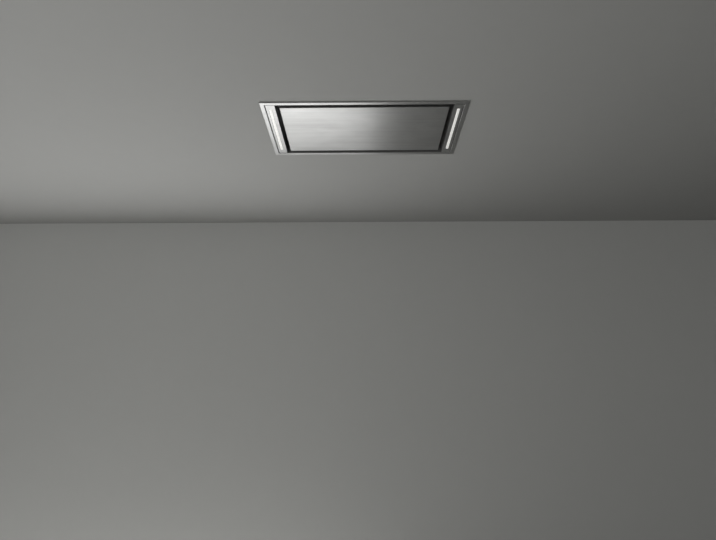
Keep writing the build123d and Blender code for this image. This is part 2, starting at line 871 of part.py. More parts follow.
def motor_isolators():
    # waisted rubber mounts between the spider's posts and the left cheek
    rubbers = []
    start = -post_end()
    half = isolator_height / 2
    rim = isolator_radius
    waist = ThreePointArc((-half, rim), (0, isolator_waist), (half, rim))
    profile = make_face([waist, *Polyline((half, rim), (half, 0), (-half, 0), (-half, rim)).edges()])
    for y, z in isolator_centres():
        rubbers.append(Pos(start + half, y, z) * revolve(profile, Axis.X, 360))
    return group(rubbers)


def blower_brackets():
    # angles that hang the cheeks from the housing's top
    top = housing_height - gauge - bracket_sheet
    low = shaft_z + scroll_top + scroll_margin - bracket_lap
    line = [(0, low), (0, top), (-bracket_reach, top)]
    section = folded(line[::-1], thickness=bracket_sheet)
    angle = front_to_back(section, bracket_length, x=-cheek_x - gauge - bracket_sheet, y=shaft_y)
    return group([angle, mirror(angle, about=Plane.YZ)])


def capacitor():
    # the motor's capacitor, hung from the housing's top by its stud
    top = housing_height - gauge
    can = along_z(capacitor_radius, capacitor_x, capacitor_y, top - capacitor_height, top)
    return fillet(can.edges().filter_by(GeomType.CIRCLE).group_by(Axis.Z)[0], capacitor_corner)


# Duct outlet


def outlet_adapter():
    # from the scroll's mouth to a round sleeve inside the collar
    floor = (spiral(0)[0] @ 0).Y
    tall = scroll_top - floor
    start = shaft_y + mouth_reach
    neck = shell_y - gauge - adapter_neck
    sleeve = duct_radius - duct_wall - fit
    end = shell_y + gauge

    def passage(grow):
        mouth = RectangleRounded(2 * cheek_x + 2 * grow, tall + 2 * grow, adapter_corner + grow)
        front = Plane(origin=(0, start, shaft_z + floor + tall / 2), x_dir=(1, 0, 0), z_dir=(0, 1, 0))
        back = Plane(origin=(0, neck, duct_z), x_dir=(1, 0, 0), z_dir=(0, 1, 0))
        round_end = Circle(sleeve - adapter_wall + grow)
        return loft([front * mouth, back * round_end]) + extrude(back * round_end, amount=end - neck)

    return passage(adapter_wall) - passage(0)


def outlet_collar():
    # a spigot for the duct, with a flange on the rear of the housing
    tube = along_y(duct_radius, 0, shell_y - gauge, duct_end, duct_z)
    tube += along_y(duct_radius + collar_flange, 0, shell_y, shell_y + duct_wall, duct_z)
    tube -= along_y(duct_radius - duct_wall, 0, shell_y - 2 * gauge, duct_end + gauge, duct_z)
    reach = duct_radius + overcut
    tube -= along_z(damper_pin_radius + pin_tightness, 0, damper_y, duct_z - reach, duct_z + reach)
    return tube


def damper_pin():
    reach = duct_radius - fit
    return along_z(damper_pin_radius, 0, damper_y, duct_z - reach, duct_z + reach)


def damper_flap(side):
    # half a disc beside the pin, with two knuckles round it
    radius = duct_radius - duct_wall - damper_gap
    plane = Plane(origin=(0, damper_y + damper_thickness / 2, duct_z), x_dir=(1, 0, 0), z_dir=(0, -1, 0))
    keep = Pos(radius / 2 + damper_split, 0) * Rectangle(radius, 2 * radius)
    body = extrude(plane * (Circle(radius) & keep), amount=damper_thickness)
    bore = damper_pin_radius + pin_slip
    half = damper_thickness / 2
    first = duct_z + (knuckle_low if side > 0 else knuckle_low + 2 * knuckle_length)
    for low in (first, first + knuckle_step):
        high = low + knuckle_length
        body += block((0, damper_y - half, low), (damper_split + half, damper_y + half, high))
        body += along_z(bore + knuckle_wall, 0, damper_y, low, high)
        body -= along_z(bore, 0, damper_y, low - overcut, high + overcut)
    return mirrored(body, side)


# Electrics


def open_box(length, width, height, wall):
    # a box with rounded upright corners, open at the top
    shell = extrude(RectangleRounded(length, width, 2 * wall), amount=height)
    hollow = RectangleRounded(length - 2 * wall, width - 2 * wall, wall)
    return shell - Pos(0, 0, wall) * extrude(hollow, amount=height)


def box_cover(length, width, wall):
    # a flat lid with a rim that fits inside the box
    lid = extrude(RectangleRounded(length, width, 2 * wall), amount=wall)
    inner = 2 * (wall + fit)
    hollow = inner + 2 * wall
    rim = RectangleRounded(length - inner, width - inner, wall)
    rim -= RectangleRounded(length - hollow, width - hollow, wall / 2)
    return lid + Pos(0, 0, -wall) * extrude(rim, amount=wall)


def junction_box():
    body = open_box(junction_length, junction_width, junction_height, box_wall)
    end = -junction_length / 2
    hole = along_x(gland_radius + fit, end - overcut, end + box_wall + overcut, 0, junction_height / 2)
    return Pos(junction_x, junction_y, housing_height) * (body - hole)


def junction_lid():
    top = housing_height + junction_height
    return Pos(junction_x, junction_y, top) * box_cover(junction_length, junction_width, box_wall)


def cable_gland():
    # a bored gland through the box's end, with a hexagonal body, a cap nut and a ring nut inside
    wall = junction_x - junction_length / 2
    z = housing_height + junction_height / 2
    inside = wall + box_wall
    body = along_x(gland_radius, wall - gland_reach, inside + gland_ring + gauge, junction_y, z)
    hexagon = RegularPolygon(gland_nut, 6)
    body += across(hexagon, wall - gland_hexagon / 2, gland_hexagon, y=junction_y, z=z)
    body += across(hexagon, wall - gland_reach + gland_cap / 2, gland_cap, y=junction_y, z=z)
    body += along_x(gland_nut - gauge, inside, inside + gland_ring, junction_y, z)
    return body - along_x(gland_bore, wall - 2 * gland_reach, wall + 2 * gland_reach, junction_y, z)


def terminal_block():
    # a row of screw terminals on the floor of the junction box
    base = housing_height + box_wall
    top = base + terminal_height
    case = Box(terminal_count * terminal_pitch, terminal_width, terminal_height)
    body = Pos(terminal_x, junction_y, base + terminal_height / 2) * case
    for index in range(terminal_count):
        x = terminal_x + (index - (terminal_count - 1) / 2) * terminal_pitch
        for y in (junction_y - terminal_width / 4, junction_y + terminal_width / 4):
            body -= along_z(terminal_well, x, y, top - terminal_depth, top + overcut)
    return body


def control_box():
    # hung open side down from the housing's top
    body = open_box(control_length, control_width, control_height, box_wall)
    return Pos(control_x, control_y, housing_height - gauge) * Rot(180, 0, 0) * body


def control_lid():
    low = housing_height - gauge - control_height
    cover = box_cover(control_length, control_width, box_wall)
    return Pos(control_x, control_y, low) * Rot(180, 0, 0) * cover


def light_driver():
    # a potted supply with a ridged case
    outline = RectangleRounded(driver_length, driver_width, driver_corner)
    body = extrude(outline, amount=driver_height)
    pitch = driver_length / (driver_rib + 1)
    for step in range(driver_rib):
        groove = Box(pitch / 3, driver_width - 2 * driver_corner, driver_corner)
        body -= Pos((step - (driver_rib - 1) / 2) * pitch, 0, 0) * groove
    return Pos(driver_x, driver_y, housing_height - gauge - driver_height) * body


def pair(name, make):
    return {f"{name}_left": make(-1), f"{name}_right": make(1)}


def whole_hood():
    single = [
        trim_frame, ceiling_seal, plate_seals, frame_screws, housing_shell, hanging_brackets, inlet_tray,
        filter_rail_rear, filter_rail_front, suction_panel, panel_liner, hinge_lugs, hinge_pins,
        hinge_hangers, strike_plates, catch_magnets, catch_brackets, scroll_wrap, impeller_disc,
        impeller_blades, motor_shaft, motor, motor_spider, motor_isolators, blower_brackets, capacitor,
        outlet_adapter, outlet_collar, damper_pin, junction_box, junction_lid, cable_gland,
        terminal_block, control_box, control_lid, light_driver,
    ]
    double = [
        side_plate, light_lens, light_channel, light_board, end_panel, filter_frame, filter_mesh,
        latch_case, filter_latch, scroll_cheek, inlet_ring, damper_flap,
    ]
    pieces = {make.__name__: make() for make in single}
    for make in double:
        pieces.update(pair(make.__name__, make))
    return pieces


os.makedirs("parts", exist_ok=True)
for name, piece in whole_hood().items():
    export_step(piece, f"parts/{name}.step")
    print(name, len(piece.solids()), round(piece.volume))
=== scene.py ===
import json
import math

import bpy
import numpy as np
from mathutils import Matrix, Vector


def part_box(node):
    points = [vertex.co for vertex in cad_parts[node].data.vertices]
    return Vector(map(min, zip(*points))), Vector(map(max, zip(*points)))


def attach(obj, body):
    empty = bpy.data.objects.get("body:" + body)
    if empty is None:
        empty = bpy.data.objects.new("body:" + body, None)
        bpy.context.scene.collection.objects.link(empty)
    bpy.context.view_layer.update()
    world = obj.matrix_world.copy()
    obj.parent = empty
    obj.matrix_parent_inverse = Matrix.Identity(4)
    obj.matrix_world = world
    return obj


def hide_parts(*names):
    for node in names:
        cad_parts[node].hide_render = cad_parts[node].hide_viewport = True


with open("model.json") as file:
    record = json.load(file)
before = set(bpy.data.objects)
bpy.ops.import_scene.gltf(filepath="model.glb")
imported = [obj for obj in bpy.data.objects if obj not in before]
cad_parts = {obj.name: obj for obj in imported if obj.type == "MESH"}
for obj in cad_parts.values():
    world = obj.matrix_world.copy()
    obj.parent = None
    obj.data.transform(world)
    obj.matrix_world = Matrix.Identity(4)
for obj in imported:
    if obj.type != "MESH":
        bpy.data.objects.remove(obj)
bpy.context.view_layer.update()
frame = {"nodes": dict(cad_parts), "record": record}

nodes = frame["nodes"]


def linear(hexColour):
    # an sRGB hex colour as linear red, green, blue and alpha
    parts = [int(hexColour[i:i + 2], 16) / 255 for i in (1, 3, 5)]
    return [p / 12.92 if p <= 0.04045 else ((p + 0.055) / 1.055) ** 2.4 for p in parts] + [1]


def add(tree, kind, inputs=None, **settings):
    # one shader node; an input is a plain value, another node (its first output) or a socket
    made = tree.nodes.new("ShaderNode" + kind)
    for name, value in settings.items():
        setattr(made, name, value)
    for name, value in (inputs or {}).items():
        if isinstance(value, bpy.types.Node):
            value = value.outputs[0]
        if isinstance(value, bpy.types.NodeSocket):
            tree.links.new(value, made.inputs[name])
        else:
            made.inputs[name].default_value = value
    return made


def drive(tree, surface, name, value):
    # links a socket, or a node's first output, to one of the surface's inputs
    if isinstance(value, bpy.types.Node):
        value = value.outputs[0]
    tree.links.new(value, surface.inputs[name])


def finish(name, **fixed):
    # a material with one principled shader, whose constant values go straight on its sockets
    made = bpy.data.materials.new(name)
    made.use_nodes = True
    tree = made.node_tree
    tree.nodes.clear()
    surface = add(tree, "BsdfPrincipled", {key.replace("_", " "): value for key, value in fixed.items()})
    add(tree, "OutputMaterial", {"Surface": surface})
    return made, tree, surface


def grains(tree, size, kind="TexNoise", start=None, **inputs):
    # a pattern in the object's own coordinates, whose features are size millimetres along x, y and z
    sizes = size if isinstance(size, tuple) else (size,) * 3
    start = start or add(tree, "TexCoord").outputs["Object"]
    scaled = add(tree, "Mapping", {"Vector": start, "Scale": [1000 / s for s in sizes]})
    return add(tree, kind, {"Vector": scaled, "Scale": 1, **inputs})


def lay(tree, surface, look, base=None, layers=None, gloss=None, relief=None, **settings):
    # Puts a finish on its surface: each layer's colour lies over the base colour as far as its pattern
    # says, the gloss pattern sets the roughness by look["gloss"] and the relief pattern the bumps by
    # look["relief"].
    if base:
        tone = linear(look[base])
        for colour, pattern in layers.items():
            over = {0: pattern, 6: tone, 7: linear(look[colour])}
            tone = add(tree, "Mix", over, data_type="RGBA").outputs[2]
        drive(tree, surface, "Base Color", tone)
    if gloss:
        drive(tree, surface, "Roughness", add(tree, "MapRange", {"Value": gloss, **look["gloss"]}))
    drive(tree, surface, "Normal", add(tree, "Bump", {"Height": relief, **look["relief"]}, **settings))


def quadMesh(name, points, quads):
    # points (n, 3) in metres and quads (m, 4) as one closed mesh whose faces look outwards
    corners = points[quads]
    volume = np.einsum("ij,ij->", corners[:, 0], np.cross(corners[:, 1], corners[:, 2]))
    volume += np.einsum("ij,ij->", corners[:, 0], np.cross(corners[:, 2], corners[:, 3]))
    if volume < 0:
        quads = quads[:, ::-1]
    mesh = bpy.data.meshes.new(name)
    mesh.vertices.add(len(points))
    mesh.vertices.foreach_set("co", points.astype(np.float32).ravel())
    mesh.loops.add(quads.size)
    mesh.loops.foreach_set("vertex_index", quads.astype(np.int32).ravel())
    mesh.polygons.add(len(quads))
    mesh.polygons.foreach_set("loop_start", np.arange(0, quads.size, 4, dtype=np.int32))
    mesh.update(calc_edges=True)
    made = bpy.data.objects.new(name, mesh)
    bpy.context.scene.collection.objects.link(made)
    return made


def closedPlate(top, under):
    # two grids of points (n, m, 3) as the upper and the lower face of a plate, with a wall round them
    index = np.arange(top.shape[0] * top.shape[1]).reshape(top.shape[:2])
    quads = np.stack([index[:-1, :-1], index[1:, :-1], index[1:, 1:], index[:-1, 1:]], -1).reshape(-1, 4)
    rim = np.concatenate([index[:-1, 0], index[-1, :-1], index[:0:-1, -1], index[0, :0:-1]])
    below = rim + index.size
    wall = np.stack([rim, below, np.roll(below, -1), np.roll(rim, -1)], -1)
    points = np.concatenate([top.reshape(-1, 3), under.reshape(-1, 3)])
    return points, np.concatenate([quads, quads[:, ::-1] + index.size, wall])


# Camera, from the corners of the rim, the panel and the lights in the photo; metres, degrees and a
# lens in millimetres

view = {
    "place": (-0.0066, -2.4946, -1.3299), "pitch": 14.651, "yaw": 0.554, "roll": -0.104,
    "lens": 29.584, "sensor": 36, "farthest": 60,
}


def makeCamera():
    data = bpy.data.cameras.new("camera")
    data.lens = view["lens"]
    data.sensor_width = view["sensor"]
    data.sensor_fit = "HORIZONTAL"
    data.clip_end = view["farthest"]
    camera = bpy.data.objects.new("camera", data)
    bpy.context.scene.collection.objects.link(camera)
    turn = Matrix.Rotation(math.radians(view["yaw"]), 4, "Z")
    turn @= Matrix.Rotation(math.radians(90 + view["pitch"]), 4, "X")
    turn @= Matrix.Rotation(math.radians(view["roll"]), 4, "Z")
    camera.matrix_world = Matrix.Translation(view["place"]) @ turn
    bpy.context.scene.camera = camera


makeCamera()
print("camera ready")


# Studio: a pale mounting board with the cut-out, seen from both sides, and a pale backdrop and floor
# below it that show from inside only

studio = {
    "reach": 7, "back": 1.3, "floor": -2.4, "board": 0.0002, "cutOut": (0.435, 0.235),
    "boardColour": "#949492", "backdropColour": "#B2B2B0", "floorColour": "#D2D2CF",
    "worldColour": "#E6E7E6", "worldStrength": 0.64,
}

paint = {"mottle": 90, "shade": 0.965, "rough": 0.85}


def emulsion(name, colour, clearBehind):
    # matt emulsion paint: flat, with the faint mottle of a roller
    made, tree, surface = finish(name, Roughness=paint["rough"])
    mottle = grains(tree, paint["mottle"], Detail=6, Roughness=0.6)
    shade = [c * paint["shade"] for c in linear(colour)[:3]] + [1]
    tone = add(tree, "Mix", {0: mottle, 6: shade, 7: linear(colour)}, data_type="RGBA")
    drive(tree, surface, "Base Color", tone.outputs[2])
    if clearBehind:
        clear = add(tree, "BsdfTransparent")
        behind = add(tree, "NewGeometry").outputs["Backfacing"]
        both = add(tree, "MixShader", {0: behind, 1: surface, 2: clear})
        tree.links.new(both.outputs[0], tree.nodes["Material Output"].inputs["Surface"])
    return made


def stagePlane(name, points, faces, colour, clearBehind=True):
    mesh = bpy.data.meshes.new(name)
    mesh.from_pydata(points, [], faces)
    mesh.materials.append(emulsion(name + "Paint", colour, clearBehind))
    made = bpy.data.objects.new(name, mesh)
    bpy.context.scene.collection.objects.link(made)


def makeStudio():
    bpy.context.scene.view_settings.view_transform = "Standard"
    far, back, low, level = studio["reach"], studio["back"], studio["floor"], studio["board"]
    cutX, cutY = studio["cutOut"]
    outer = [(-far, -far, level), (far, -far, level), (far, far, level), (-far, far, level)]
    inner = [(-cutX, -cutY, level), (cutX, -cutY, level), (cutX, cutY, level), (-cutX, cutY, level)]
    ring = [(i, 4 + i, 4 + (i + 1) % 4, (i + 1) % 4) for i in range(4)]
    stagePlane("mountingBoard", outer + inner, ring, studio["boardColour"], clearBehind=False)
    wall = [(-far, back, low), (far, back, low), (far, back, level), (-far, back, level)]
    stagePlane("backdrop", wall, [(0, 1, 2, 3)], studio["backdropColour"])
    ground = [(-far, -far, low), (far, -far, low), (far, back, low), (-far, back, low)]
    stagePlane("floor", ground, [(0, 1, 2, 3)], studio["floorColour"])


def makeWorld():
    # a soft even light, shown brighter to the camera and in reflections than it shines
    world = bpy.data.worlds.new("studio")
    bpy.context.scene.world = world
    world.use_nodes = True
    tree = world.node_tree
    tree.nodes.clear()
    colour = linear(studio["worldColour"])
    light = add(tree, "Background", {"Color": colour, "Strength": studio["worldStrength"]})
    shown = add(tree, "Background", {"Color": colour, "Strength": 1})
    ray = add(tree, "LightPath").outputs
    seen = add(tree, "Math", {0: ray["Is Camera Ray"], 1: ray["Is Glossy Ray"]}, operation="MAXIMUM")
    seen = add(tree, "Math", {0: seen, 1: ray["Is Transmission Ray"]}, operation="MAXIMUM")
    both = add(tree, "MixShader", {0: seen, 1: light, 2: shown})
    add(tree, "OutputWorld", {"Surface": both})


# each lamp: place, the point it faces, width, height and strength in watts
lamps = {
    "rearLeftPanel": {
        "place": (-1.45, 1.29, -1.58), "faces": (-1.45, 0, -1.58), "size": (3.0, 1.64), "watts": 42,
    },
    "rearLeftEdge": {
        "place": (-1.55, 1.28, -1.6), "faces": (-1.55, 0, -1.6), "size": (2.4, 1.6), "watts": 6,
    },
    "frontFill": {
        "place": (-1.6, -2.4, -2.3), "faces": (-0.2, -0.2, 0), "size": (3.0, 2.0), "watts": 56,
    },
    "overhead": {
        "place": (0.4, -0.6, 3.0), "faces": (0, 0, 0), "size": (3.0, 3.0), "watts": 105,
    },
}


def makeLamps():
    for name, lamp in lamps.items():
        data = bpy.data.lights.new(name, "AREA")
        data.shape = "RECTANGLE"
        data.size, data.size_y = lamp["size"]
        data.energy = lamp["watts"]
        made = bpy.data.objects.new(name, data)
        bpy.context.scene.collection.objects.link(made)
        place = Matrix.Translation(lamp["place"])
        heading = place.to_translation() - Matrix.Translation(lamp["faces"]).to_translation()
        made.matrix_world = place @ heading.to_track_quat("Z", "Y").to_matrix().to_4x4()
        made.visible_camera = False


makeStudio()
makeWorld()
makeLamps()
print("studio and lamps ready")


# Finishes. The sizes of patterns are millimetres, heights and the depth of bumps are metres.

stainless = {
    # the last colour is painted shade for the walls below the board
    "dark": "#979796", "light": "#A9A9A8", "smear": "#AFAFAE", "wallShade": "#5E5E5C",
    # hairlines, bands and wide streaks: length, width and detail
    "streaks": [(70, 0.35, 4), (420, 3.5, 3), (700, 22, 2)], "smudge": (190, 120, 120),
    "contrast": {"From Min": 1.05, "From Max": 1.95},
    "smeared": {"From Min": 0.42, "From Max": 0.7, "To Max": 0.6},
    "gloss": {"From Min": 1.0, "From Max": 2.0, "To Min": 0.39, "To Max": 0.31},
    "relief": {"Strength": 0.05, "Distance": 0.00004}, "steep": 0.7,
}


def brushedStainless(name):
    # Stainless sheet brushed along X with a fine belt: the hairlines stretch every reflection across
    # them, and wider bands, drawn far coarser than the belt's grit so that they show, make faint
    # streaks. Below the ceiling, walls across the sheet are painted darker, as painted shade for
    # the narrow gaps and steps they stand in.
    made, tree, surface = finish(name, Metallic=1, Anisotropic=0.25)
    drive(tree, surface, "Tangent", add(tree, "CombineXYZ", {1: 1}))
    hair, band, wide = [
        grains(tree, (long, thin, thin), Detail=detail, Roughness=0.65)
        for long, thin, detail in stainless["streaks"]
    ]
    mixed = add(tree, "Math", {0: hair, 1: band}, operation="ADD")
    mixed = add(tree, "Math", {0: mixed, 1: wide}, operation="ADD")
    level = add(tree, "MapRange", {"Value": mixed, **stainless["contrast"]})
    smudge = grains(tree, stainless["smudge"], Detail=4, Distortion=0.6)
    smear = add(tree, "MapRange", {"Value": smudge, **stainless["smeared"]})
    place = add(tree, "TexCoord")
    # painted shade: faces turned along X below the board take the darker wall colour
    facing = add(tree, "SeparateXYZ", {0: place.outputs["Normal"]})
    steep = add(tree, "Math", {0: facing.outputs["X"]}, operation="ABSOLUTE")
    steep = add(tree, "Math", {0: steep, 1: stainless["steep"]}, operation="GREATER_THAN")
    height = add(tree, "SeparateXYZ", {0: place.outputs["Object"]})
    below = add(tree, "Math", {0: height.outputs["Z"], 1: 0.0}, operation="LESS_THAN")
    wall = add(tree, "Math", {0: steep, 1: below}, operation="MULTIPLY")
    layers = {"light": level, "smear": smear, "wallShade": wall}
    lay(tree, surface, stainless, "dark", layers, gloss=mixed, relief=mixed)
    return made


zinc = {
    "blue": "#BFC4CA", "straw": "#D0CCBE", "cloud": 26, "speck": 0.9,
    "gloss": {"To Min": 0.22, "To Max": 0.5}, "relief": {"Strength": 0.12, "Distance": 0.0001},
}


def zincPlate(name):
    # Steel with bright zinc plating: bluish metal with straw-coloured clouds and fine matt speckle.
    made, tree, surface = finish(name, Metallic=1)
    cloud = grains(tree, zinc["cloud"], Detail=4, Distortion=1.2)
    speck = grains(tree, zinc["speck"], Detail=3)
    lay(tree, surface, zinc, "blue", {"straw": cloud}, gloss=speck, relief=speck)
    return made


spangled = {
    "dark": "#A0A6A9", "light": "#BDC3C6", "dust": "#AAACA9",
    "spangle": 8, "feather": (1.2, 4.8, 1.2), "feathered": 0.25, "warp": 9, "warpBy": 0.0022,
    "film": (140, 140, 90), "filmed": {"From Min": 0.5, "From Max": 0.8, "To Max": 0.4},
    "gloss": {"To Min": 0.34, "To Max": 0.58}, "relief": {"Strength": 0.08, "Distance": 0.0002},
}


def galvanisedSheet(name):
    # Hot-dip galvanised sheet: crystals about a centimetre across, each its own grey and gloss, with
    # feathered edges and a dull film over all.
    made, tree, surface = finish(name, Metallic=0.92)
    warp = grains(tree, spangled["warp"], Detail=2).outputs["Color"]
    start = add(tree, "TexCoord").outputs["Object"]
    moved = add(tree, "VectorMath", {0: warp, "Scale": spangled["warpBy"]}, operation="SCALE")
    moved = add(tree, "VectorMath", {0: start, 1: moved}, operation="ADD")
    crystal = grains(tree, spangled["spangle"], kind="TexVoronoi", start=moved.outputs[0])
    grey = add(tree, "SeparateColor", {0: crystal.outputs["Color"]})
    feather = grains(tree, spangled["feather"], Detail=3)
    value = add(tree, "Mix", {0: spangled["feathered"], 2: grey.outputs[0], 3: feather})
    film = grains(tree, spangled["film"], Detail=5)
    dust = add(tree, "MapRange", {"Value": film, **spangled["filmed"]})
    layers = {"light": value, "dust": dust}
    lay(tree, surface, spangled, "dark", layers, gloss=grey.outputs[1], relief=value)
    return made


enamel = {
    "black": "#5C5C5B", "worn": "#686866", "orangePeel": 2.2, "dust": 60,
    "dusty": {"From Min": 0.45, "From Max": 0.8},
    "gloss": {"To Min": 0.36, "To Max": 0.52}, "relief": {"Strength": 0.25, "Distance": 0.0001},
}


def blackEnamel(name):
    # Steel with satin black powder coat, worn to grey: the fine orange peel of the baked powder breaks
    # up the gloss.
    made, tree, surface = finish(name, Coat_Weight=0.15, Coat_Roughness=0.25)
    dust = grains(tree, enamel["dust"], Detail=6)
    worn = add(tree, "MapRange", {"Value": dust, **enamel["dusty"]})
    peel = grains(tree, enamel["orangePeel"], Detail=2)
    lay(tree, surface, enamel, "black", {"worn": worn}, gloss=dust, relief=peel)
    return made


aluminium = {
    "clean": "#DEE0E0", "greyed": "#C2C4C3", "cloud": 34, "mill": 2.4,
    "gloss": {"To Min": 0.26, "To Max": 0.46}, "relief": {"Strength": 0.15, "Distance": 0.00008},
}


def millAluminium(name):
    # Bare aluminium sheet and strand, degreased: pale metal, softly mottled and satin. A thin chalky
    # oxide scatters part of the light, which keeps the strands pale down in the pad.
    made, tree, surface = finish(name, Metallic=0.7)
    cloud = grains(tree, aluminium["cloud"], Detail=5)
    skin = grains(tree, aluminium["mill"], Detail=4)
    lay(tree, surface, aluminium, "greyed", {"clean": cloud}, gloss=skin, relief=skin)
    return made


anodised = {
    "dark": "#B6B8B8", "light": "#D2D4D4", "die": (0.6, 220, 0.6),
    "gloss": {"To Min": 0.36, "To Max": 0.5}, "relief": {"Strength": 0.2, "Distance": 0.00005},
}


def anodisedExtrusion(name):
    # Extruded aluminium, matt anodised: fine die lines along its length under a pale even satin.
    made, tree, surface = finish(name, Metallic=1)
    lines = grains(tree, anodised["die"], Detail=2)
    lay(tree, surface, anodised, "dark", {"light": lines}, gloss=lines, relief=lines)
    return made


opal = {
    "body": "#F1F0EC", "glow": "#FFFEFA", "strength": 0.25, "ripple": (0.95, 1.03), "chipPitch": 16,
    "frost": 0.6, "relief": {"Strength": 0.05, "Distance": 0.00005},
}


def opalAcrylic(name):
    # Opal acrylic over a lit strip: an even milky glow, a touch brighter over each chip.
    made, tree, surface = finish(
        name, Base_Color=linear(opal["body"]), Roughness=0.28, Emission_Color=linear(opal["glow"]),
    )
    place = add(tree, "SeparateXYZ", {0: add(tree, "TexCoord").outputs["Object"]})
    turns = 2000 * math.pi / opal["chipPitch"]  # radians to a metre
    phase = add(tree, "Math", {0: place.outputs["Y"], 1: turns}, operation="MULTIPLY")
    ripple = add(tree, "Math", {0: phase}, operation="COSINE")
    least, most = [opal["strength"] * share for share in opal["ripple"]]
    glow = add(tree, "MapRange", {"Value": ripple, "From Min": -1, "To Min": least, "To Max": most})
    drive(tree, surface, "Emission Strength", glow)
    lay(tree, surface, opal, relief=grains(tree, opal["frost"], Detail=2))
    return made


solderMask = {
    "white": "#ECEDE9", "track": "#E0E2DE", "chip": "#E6C65A", "tracks": (3.2, 40, 8),
    "chipsBelow": 0.0063, "relief": {"Strength": 0.3, "Distance": 0.0001},
}


def whiteSolderMask(name):
    # Circuit strip under white solder mask: glossy white with faint raised tracks, yellow chips below.
    made, tree, surface = finish(name, Roughness=0.3, Specular_IOR_Level=0.5)
    place = add(tree, "SeparateXYZ", {0: add(tree, "TexCoord").outputs["Object"]})
    tracks = grains(tree, solderMask["tracks"], Detail=1)
    edge = add(tree, "Math", {0: tracks, 1: 0.5}, operation="GREATER_THAN")
    chips = {0: place.outputs["Z"], 1: solderMask["chipsBelow"]}
    chips = add(tree, "Math", chips, operation="LESS_THAN")
    lay(tree, surface, solderMask, "white", {"track": edge, "chip": chips}, relief=edge)
    return made


plastic = {
    "flow": (45, 30, 30), "pebble": 0.8, "glossier": 0.08, "duller": 0.1,
    "relief": {"Strength": 0.3, "Distance": 0.00012},
}


def mouldedPlastic(name, body, mark, rough):
    # Injection-moulded plastic with a spark-eroded texture: even colour, pebbled under the light.
    gloss = {"To Min": rough - plastic["glossier"], "To Max": rough + plastic["duller"]}
    look = {**plastic, "body": body, "mark": mark, "gloss": gloss}
    made, tree, surface = finish(name, IOR=1.5)
    flow = grains(tree, plastic["flow"], Detail=4, Distortion=0.8)
    pebble = grains(tree, plastic["pebble"], Detail=2, Roughness=0.55)
    lay(tree, surface, look, "body", {"mark": flow}, gloss=pebble, relief=pebble)
    return made


hammered = {
    # the second colour is painted shade in the valleys between the dimples
    "ridge": "#4A4C50", "valleyShade": "#2C2D30", "dimple": 3.2,
    "relief": {"Strength": 0.5, "Distance": 0.0003},
}


def hammeredPaint(name):
    # Motor casing in stoved hammer paint: small rounded dimples, with the valleys between them painted
    # darker as shade.
    made, tree, surface = finish(name, Metallic=0.35, Roughness=0.34)
    dimple = grains(tree, hammered["dimple"], kind="TexVoronoi")
    lay(tree, surface, hammered, "ridge", {"valleyShade": dimple}, relief=dimple, invert=True)
    return made


rubber = {
    "black": "#1B1B1B", "bloom": "#333331", "cloud": 6,
    "relief": {"Strength": 0.2, "Distance": 0.0001},
}


def mouldedRubber(name):
    # Moulded black rubber with a grey bloom on the surface: no gloss, slightly dusty.
    made, tree, surface = finish(name, Roughness=0.78)
    bloom = grains(tree, rubber["cloud"], Detail=5)
    lay(tree, surface, rubber, "black", {"bloom": bloom}, relief=bloom)
    return made


foam = {
    # both colours are dark as a painted shadow for the gap round the side plates
    "hollow": "#202020", "skin": "#4A4A48", "cell": 1.3,
    "relief": {"Strength": 0.8, "Distance": 0.0005},
}


def foamAndGapShade(name):
    # Closed-cell foam strip, cut from a block: dark grey with open cells about a millimetre across. Its
    # dark grey fills the narrow gap round the side plates as a painted shadow, and the hollows of the
    # cells are painted darker still as shade.
    made, tree, surface = finish(name, Roughness=0.95, Sheen_Weight=0.2)
    cells = grains(tree, foam["cell"], kind="TexVoronoi")
    # painted shade: the hollows of the cells take the darkest colour
    lay(tree, surface, foam, "hollow", {"skin": cells}, relief=cells)
    return made


finishes = {
    "brushed_stainless": brushedStainless("brushedStainless"),
    "foam": foamAndGapShade("foamAndGapShadeMaterial"),
    "zinc_steel": zincPlate("zincPlatedSteel"),
    "galvanised": galvanisedSheet("galvanisedSheet"),
    "black_enamel": blackEnamel("blackPowderCoat"),
    "filter_aluminium": millAluminium("millAluminium"),
    "channel_aluminium": anodisedExtrusion("anodisedExtrusion"),
    "opal": opalAcrylic("opalAcrylic"),
    "board": whiteSolderMask("whiteSolderMask"),
    "black_plastic": mouldedPlastic("blackMouldedPlastic", "#171717", "#202020", 0.42),
    "grey_plastic": mouldedPlastic("greyMouldedPlastic", "#8E9092", "#979A9C", 0.46),
    "white_plastic": mouldedPlastic("whiteMouldedPlastic", "#DEDDD8", "#E6E5E1", 0.4),
    "motor_paint": hammeredPaint("hammeredPaint"),
    "rubber": mouldedRubber("mouldedRubber"),
}


def dressNodes():
    for part in frame["record"]["subparts"]:
        mesh = nodes[part["node"]].data
        mesh.materials.clear()
        mesh.materials.append(finishes[part["material_slot"]])


dressNodes()


# Filter meshes: layers of expanded aluminium inside each filter's frame

meshPad = {
    # each layer: diamond long and short way, strand width and thickness, height in the pad, turned
    "layers": [
        {"long": 16, "short": 8, "strand": 1.5, "sheet": 0.5, "height": 0.12, "turned": False},
        {"long": 22, "short": 11, "strand": 2.3, "sheet": 0.5, "height": 0.38, "turned": True},
        {"long": 22, "short": 11, "strand": 2.3, "sheet": 0.5, "height": 0.62, "turned": False},
        {"long": 22, "short": 11, "strand": 2.3, "sheet": 0.5, "height": 0.86, "turned": True},
    ],
    "tilt": 32, "knuckle": 0.16, "edge": 1.2,
}


